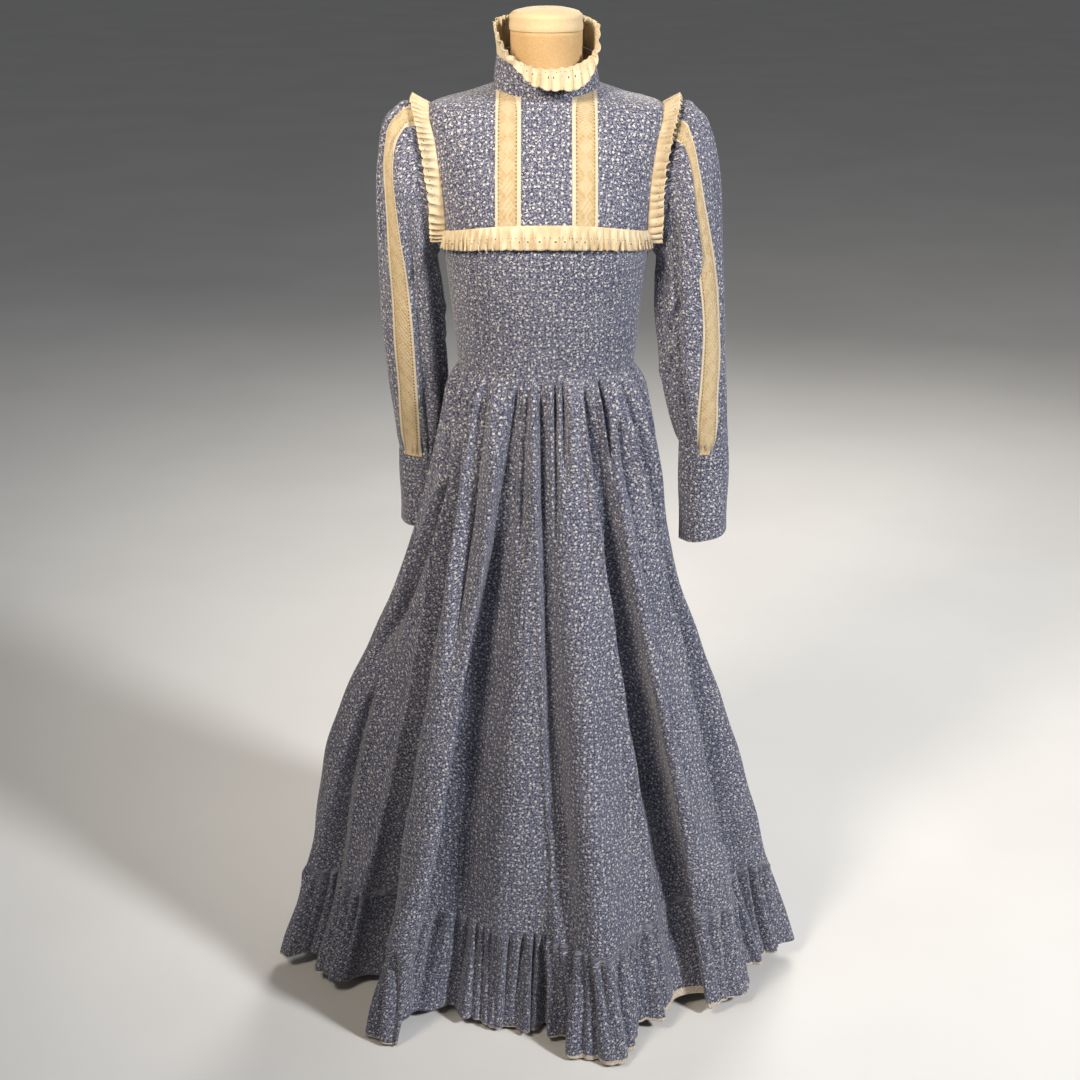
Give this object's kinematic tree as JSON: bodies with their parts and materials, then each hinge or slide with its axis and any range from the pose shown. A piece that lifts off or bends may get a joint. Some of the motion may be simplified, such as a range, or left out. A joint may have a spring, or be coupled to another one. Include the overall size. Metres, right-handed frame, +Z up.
{
  "type": "prairie dress on a dress form",
  "caption": "Full-length prairie dress in small floral cotton with lace insertions, gathered frills and a hem flounce, standing on a limbless dress form.",
  "frame": {"origin": "middle of the underside of the stand's base, on the floor", "axes": "+Z up; the front of the dress faces -Y; +X is to the right seen from the front"},
  "size_m": [0.8876, 0.5799, 1.5776],
  "materials": {
    "printed_cotton": "matt printed cotton lawn",
    "cotton_lace": "cream cotton insertion lace",
    "eyelet_edging": "cream gathered eyelet edging",
    "button_shell": "pearly shell button",
    "form_linen": "stretched linen-coloured cover",
    "stand_metal": "satin black"
  },
  "bodies": {
    "root": {"midriff_front": "printed_cotton", "yoke_front_centre": "printed_cotton", "yoke_front_left": "printed_cotton", "yoke_front_right": "printed_cotton", "back_left": "printed_cotton", "back_right": "printed_cotton", "back_placket": "printed_cotton", "collar_band": "printed_cotton", "sleeve_left_front": "printed_cotton", "sleeve_left_back": "printed_cotton", "cuff_left": "printed_cotton", "sleeve_right_front": "printed_cotton", "sleeve_right_back": "printed_cotton", "cuff_right": "printed_cotton", "skirt_front": "printed_cotton", "skirt_back": "printed_cotton", "flounce_front": "printed_cotton", "flounce_back": "printed_cotton", "yoke_lace_left": "cotton_lace", "yoke_lace_right": "cotton_lace", "sleeve_left_lace": "cotton_lace", "sleeve_right_lace": "cotton_lace", "collar_frill": "eyelet_edging", "yoke_frill_bottom": "eyelet_edging", "yoke_frill_left": "eyelet_edging", "yoke_frill_right": "eyelet_edging", "back_button_1": "button_shell", "back_button_2": "button_shell", "back_button_3": "button_shell", "back_button_4": "button_shell", "back_button_5": "button_shell", "back_button_6": "button_shell", "back_button_7": "button_shell", "back_button_8": "button_shell", "collar_button": "button_shell", "form_torso": "form_linen", "form_neck_cap": "form_linen", "stand_pole": "stand_metal", "stand_base": "stand_metal"}
  },
  "joints": []
}
